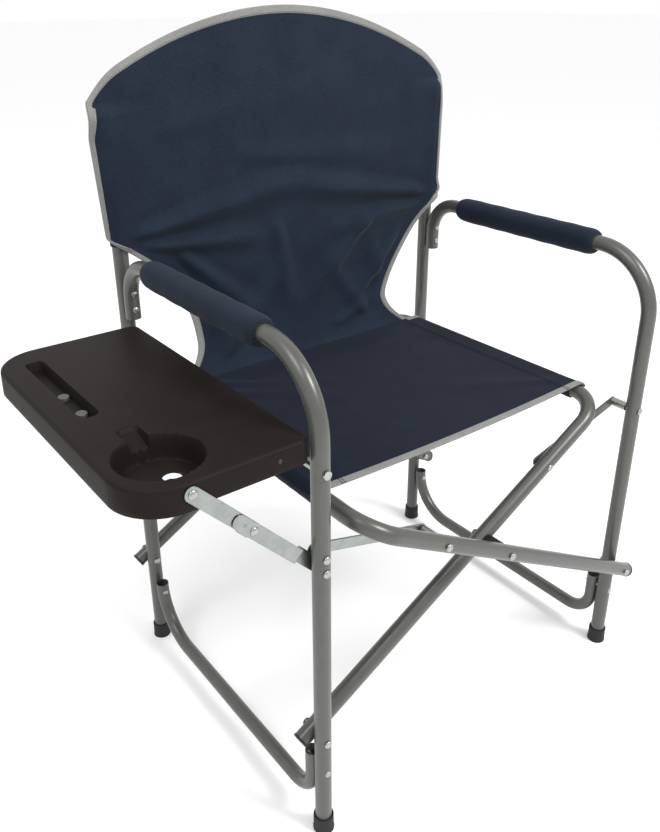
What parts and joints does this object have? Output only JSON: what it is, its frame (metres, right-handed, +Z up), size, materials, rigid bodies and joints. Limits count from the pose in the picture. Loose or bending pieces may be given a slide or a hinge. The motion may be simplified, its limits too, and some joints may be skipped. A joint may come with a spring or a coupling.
{
  "type": "folding camp chair",
  "caption": "Folding director's camp chair: scissor cross frames under a fabric seat and back, padded arms and a drop-leaf side table with cup recess.",
  "frame": {"origin": "on the floor, at the middle of the overall width and depth, table included", "axes": "+Z up; -Y the way the sitter faces; +X the sitter's left; the table is on the -X side"},
  "size_m": [0.789, 0.5166, 0.9517],
  "materials": {
    "painted_tube": "warm grey powder coat over drawn steel tube, satin",
    "zinc_plate": "pressed steel strap, bright zinc plated",
    "rivet": "steel rivet, domed and upset",
    "rubber_foot": "black moulded rubber cap",
    "black_plastic": "black moulded nylon",
    "table_plastic": "black-brown injection moulded polypropylene, fine texture",
    "foam": "black closed-cell foam tube",
    "navy_fabric": "navy woven polyester, plain weave, pale grey edge binding"
  },
  "bodies": {
    "right_frame": {"arm_tube_right": "painted_tube", "rear_post_right": "painted_tube", "side_rail_right": "painted_tube", "foot_front_right": "rubber_foot", "foot_rear_right": "rubber_foot", "arm_foam_right": "foam", "arm_cover_right": "navy_fabric", "pivot_pin_front_right": "rivet", "pivot_pin_rear_right": "rivet", "link_front_right_leg_pin": "rivet", "link_rear_right_leg_pin": "rivet", "hinge_rod": "painted_tube", "stay_foot_pin_front": "rivet", "stay_foot_pin_rear": "rivet", "back_panel": "navy_fabric", "back_pocket_right": "navy_fabric"},
    "frame_a": {"frame_a": "painted_tube", "end_plug_front_a": "black_plastic", "end_plug_rear_a": "black_plastic", "cross_pin_front": "rivet", "cross_pin_rear": "rivet", "cross_spacer_front": "black_plastic", "cross_spacer_rear": "black_plastic", "link_front_left_tube_pin": "rivet", "link_rear_left_tube_pin": "rivet"},
    "frame_b": {"frame_b": "painted_tube", "end_plug_front_b": "black_plastic", "end_plug_rear_b": "black_plastic", "link_front_right_tube_pin": "rivet", "link_rear_right_tube_pin": "rivet"},
    "left_frame": {"arm_tube_left": "painted_tube", "rear_post_left": "painted_tube", "side_rail_left": "painted_tube", "foot_front_left": "rubber_foot", "foot_rear_left": "rubber_foot", "arm_foam_left": "foam", "arm_cover_left": "navy_fabric", "pivot_pin_front_left": "rivet", "pivot_pin_rear_left": "rivet", "link_front_left_leg_pin": "rivet", "link_rear_left_leg_pin": "rivet", "back_pocket_left": "navy_fabric"},
    "left_links": {"link_front_left": "zinc_plate", "link_rear_left": "zinc_plate"},
    "right_links": {"link_front_right": "zinc_plate", "link_rear_right": "zinc_plate"},
    "seat": {"seat_panel": "navy_fabric"},
    "table": {"table_top": "table_plastic", "hinge_clip_front": "black_plastic", "hinge_clip_rear": "black_plastic", "table_rivet_front": "rivet", "table_rivet_rear": "rivet"},
    "stay_upper": {"stay_upper_front": "zinc_plate", "stay_upper_rear": "zinc_plate"},
    "stay_lower": {"stay_lower_front": "zinc_plate", "stay_lower_rear": "zinc_plate", "elbow_rivet_front": "rivet", "elbow_rivet_rear": "rivet"}
  },
  "joints": [
    {"name": "fold", "type": "hinge", "parent": "right_frame", "child": "frame_a", "pos_m": [-0.18948, 0, 0.152], "axis": [0, -1, 0], "range_deg": [0, 36.56], "deforming": ["back_panel"]},
    {"name": "cross", "type": "hinge", "parent": "frame_a", "child": "frame_b", "pos_m": [0.09052, 0, 0.31], "axis": [0, -1, 0], "range_deg": [-73.12, 0]},
    {"name": "left_pivot", "type": "hinge", "parent": "frame_b", "child": "left_frame", "pos_m": [0.37052, 0, 0.152], "axis": [0, -1, 0], "range_deg": [0, 36.56]},
    {"name": "left_link_turn", "type": "hinge", "parent": "left_frame", "child": "left_links", "pos_m": [0.37052, 0, 0.42], "axis": [0, -1, 0], "range_deg": [-78.18, 0]},
    {"name": "right_link_turn", "type": "hinge", "parent": "right_frame", "child": "right_links", "pos_m": [-0.18948, 0, 0.42], "axis": [0, -1, 0], "range_deg": [0, 78.18]},
    {"name": "seat_level", "type": "hinge", "parent": "frame_a", "child": "seat", "pos_m": [0.32052, 0, 0.43979], "axis": [0, -1, 0], "range_deg": [-36.56, 0], "deforming": ["seat_panel"]},
    {"name": "table_drop", "type": "hinge", "parent": "right_frame", "child": "table", "pos_m": [-0.18948, 0, 0.525], "axis": [0, -1, 0], "range_deg": [0, 83]},
    {"name": "stay_upper_turn", "type": "hinge", "parent": "table", "child": "stay_upper", "pos_m": [-0.33548, 0, 0.556], "axis": [0, -1, 0], "range_deg": [-137.43, 0]},
    {"name": "stay_lower_turn", "type": "hinge", "parent": "right_frame", "child": "stay_lower", "pos_m": [-0.18948, 0, 0.402], "axis": [0, -1, 0], "range_deg": [0, 104.64]}
  ],
  "couplings": [
    {"joint": "cross", "follows": "fold", "ratio": -2},
    {"joint": "left_pivot", "follows": "fold", "ratio": 1},
    {"joint": "left_link_turn", "follows": "fold", "ratio": -2.1381},
    {"joint": "right_link_turn", "follows": "fold", "ratio": 2.1381},
    {"joint": "seat_level", "follows": "fold", "ratio": -1},
    {"joint": "stay_upper_turn", "follows": "table_drop", "ratio": -1.6557},
    {"joint": "stay_lower_turn", "follows": "table_drop", "ratio": 1.2606}
  ]
}
